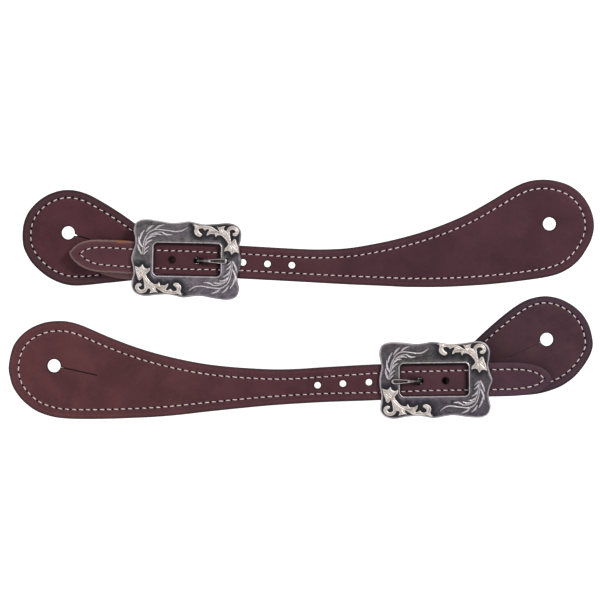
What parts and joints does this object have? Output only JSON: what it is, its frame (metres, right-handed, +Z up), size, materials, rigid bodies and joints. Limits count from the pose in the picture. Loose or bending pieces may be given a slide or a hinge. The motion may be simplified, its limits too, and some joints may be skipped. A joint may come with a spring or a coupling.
{
  "type": "pair of spur straps",
  "caption": "Pair of stitched leather spur straps with teardrop button ends, punched billets and engraved scroll buckles.",
  "frame": {"origin": "centre of the pair's bounding box, at table height", "axes": "+X along the straps, towards the right strap's large end; +Y from the left strap to the right strap; +Z up, out of the show face"},
  "size_m": [0.3338, 0.1364, 0.0119],
  "materials": {
    "leather": "oiled, burgundy brown",
    "flesh_side": "smooth undyed flesh side",
    "thread": "waxed cord",
    "antiqued_frame": "antiqued dark grey over nickel",
    "tongue_metal": "satin",
    "silver_overlay": "soft polished silver"
  },
  "bodies": {
    "right_short": {"right_short_outer_ply": "leather", "right_short_lining_turned_end": "flesh_side", "right_short_top_thread": "thread", "right_short_bobbin_thread": "thread"},
    "right_buckle": {"right_buckle_frame": "antiqued_frame", "right_scroll_overlay_top": "silver_overlay", "right_scroll_overlay_bottom": "silver_overlay"},
    "right_tongue": {"right_buckle_tongue": "tongue_metal"},
    "right_long": {"right_long_outer_ply": "leather", "right_long_lining": "flesh_side", "right_long_top_thread": "thread", "right_long_bobbin_thread": "thread"},
    "left_short": {"left_short_outer_ply": "leather", "left_short_lining_turned_end": "flesh_side", "left_short_top_thread": "thread", "left_short_bobbin_thread": "thread"},
    "left_buckle": {"left_buckle_frame": "antiqued_frame", "left_scroll_overlay_top": "silver_overlay", "left_scroll_overlay_bottom": "silver_overlay"},
    "left_tongue": {"left_buckle_tongue": "tongue_metal"},
    "left_long": {"left_long_outer_ply": "leather", "left_long_lining": "flesh_side", "left_long_top_thread": "thread", "left_long_bobbin_thread": "thread"}
  },
  "joints": [
    {"name": "right_buckle_hinge", "type": "hinge", "parent": "right_short", "child": "right_buckle", "pos_m": [-0.06536, 0.02257, 0.00245], "axis": [0.0175, 0.9998, 0], "range_deg": [0, 30]},
    {"name": "right_billet_slide", "type": "slide", "parent": "right_buckle", "child": "right_long", "axis": [-0.9989, 0.0474, 0], "range_m": [0, 0.003]},
    {"name": "right_tongue_hinge", "type": "hinge", "parent": "right_buckle", "child": "right_tongue", "pos_m": [-0.06536, 0.02257, 0.00245], "axis": [-0.0175, -0.9998, 0], "range_deg": [0, 38]},
    {"name": "left_buckle_hinge", "type": "hinge", "parent": "left_short", "child": "left_buckle", "pos_m": [0.07614, -0.04613, 0.00245], "axis": [0.0122, -0.9999, 0], "range_deg": [0, 30]},
    {"name": "left_billet_slide", "type": "slide", "parent": "left_buckle", "child": "left_long", "axis": [0.9997, 0.0242, 0], "range_m": [0, 0.0036]},
    {"name": "left_tongue_hinge", "type": "hinge", "parent": "left_buckle", "child": "left_tongue", "pos_m": [0.07614, -0.04613, 0.00245], "axis": [-0.0122, 0.9999, 0], "range_deg": [0, 45]},
    {"name": "pair_apart", "type": "slide", "parent": "right_short", "child": "left_short", "axis": [0, -1, 0], "range_m": [0, 0.08]}
  ],
  "couplings": [
    {"joint": "right_tongue_hinge", "follows": "right_billet_slide", "rad_per_m": 204.08},
    {"joint": "left_tongue_hinge", "follows": "left_billet_slide", "rad_per_m": 204.08}
  ]
}
